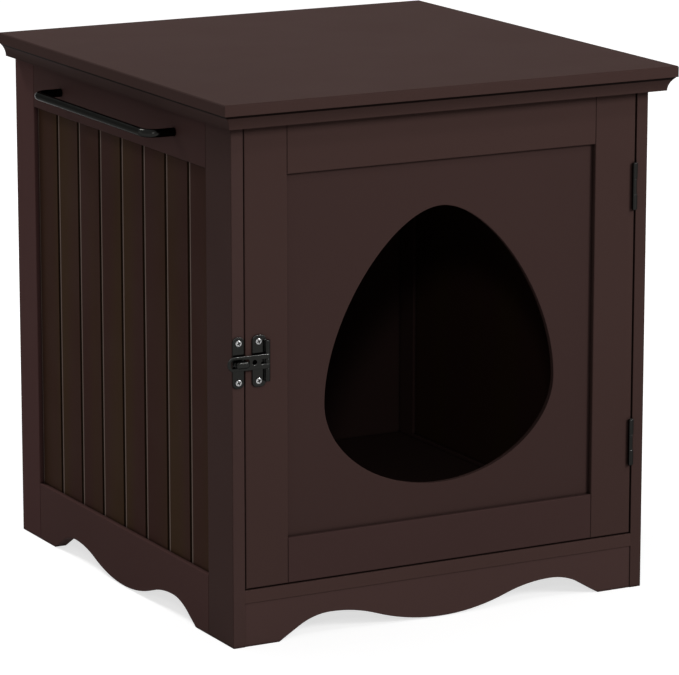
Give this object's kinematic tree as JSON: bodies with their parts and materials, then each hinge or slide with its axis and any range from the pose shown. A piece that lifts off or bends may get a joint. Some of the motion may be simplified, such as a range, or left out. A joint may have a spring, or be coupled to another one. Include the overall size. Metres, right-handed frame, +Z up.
{
  "type": "cat litter box cabinet",
  "caption": "Free-standing painted wooden cabinet with an inset framed door, an egg-shaped pet doorway, a turn-knob hasp, beaded sides and a side towel bar.",
  "frame": {"origin": "middle of the whole object's box, on the floor it stands on", "axes": "+Z up; the door faces -Y; +X is to the right of a person who faces the door, on the hinge side; the towel bar is on -X"},
  "size_m": [0.49, 0.4964, 0.51],
  "materials": {
    "brown_paint": "smooth satin paint, dark espresso brown, over fibreboard",
    "bare_wood": "planed, unpainted softwood",
    "black_metal": "glossy black enamel on steel",
    "bright_steel": "bright zinc-plated steel"
  },
  "bodies": {
    "cabinet": {"top_panel": "brown_paint", "front_moulding": "brown_paint", "left_moulding": "brown_paint", "right_moulding": "brown_paint", "left_front_stile": "brown_paint", "right_front_stile": "brown_paint", "left_rear_stile": "brown_paint", "right_rear_stile": "brown_paint", "left_top_rail": "brown_paint", "right_top_rail": "brown_paint", "left_bottom_rail": "brown_paint", "right_bottom_rail": "brown_paint", "left_beaded_panel": "brown_paint", "right_beaded_panel": "brown_paint", "back_panel": "brown_paint", "bottom_panel": "brown_paint", "front_skirt": "brown_paint", "rear_skirt": "brown_paint", "front_stretcher": "brown_paint", "left_top_cleat": "bare_wood", "right_top_cleat": "bare_wood", "left_bottom_cleat": "bare_wood", "right_bottom_cleat": "bare_wood", "corner_blocks": "bare_wood", "wooden_dowels": "bare_wood", "cleat_screws": "bright_steel", "towel_bar": "black_metal", "towel_bar_screws": "bright_steel", "lower_hinge_cabinet_leaf": "black_metal", "lower_hinge_pin": "black_metal", "upper_hinge_cabinet_leaf": "black_metal", "upper_hinge_pin": "black_metal", "hinge_cabinet_screws": "black_metal", "keeper_plate": "black_metal", "keeper_screws": "bright_steel"},
    "door": {"lower_hinge_door_leaf": "black_metal", "upper_hinge_door_leaf": "black_metal", "hinge_door_screws": "black_metal", "door_latch_stile": "brown_paint", "door_hinge_stile": "brown_paint", "door_top_rail": "brown_paint", "door_bottom_rail": "brown_paint", "door_panel": "brown_paint", "hasp_leaf": "black_metal", "hasp_leaf_screws": "bright_steel", "hasp_pin": "black_metal"},
    "strap": {"hasp_strap": "black_metal"},
    "knob": {"turn_knob": "black_metal"}
  },
  "joints": [
    {"name": "door_swing", "type": "hinge", "parent": "cabinet", "child": "door", "pos_m": [0.21205, -0.2262, 0.27], "axis": [0, 0, 1], "range_deg": [0, 170]},
    {"name": "strap_swing", "type": "hinge", "parent": "door", "child": "strap", "pos_m": [-0.1789, -0.2267, 0.269], "axis": [0, 0, 1], "range_deg": [0, 170]},
    {"name": "knob_turn", "type": "hinge", "parent": "cabinet", "child": "knob", "pos_m": [-0.20745, -0.2238, 0.269], "axis": [0, 1, 0], "range_deg": [0, 90]}
  ]
}
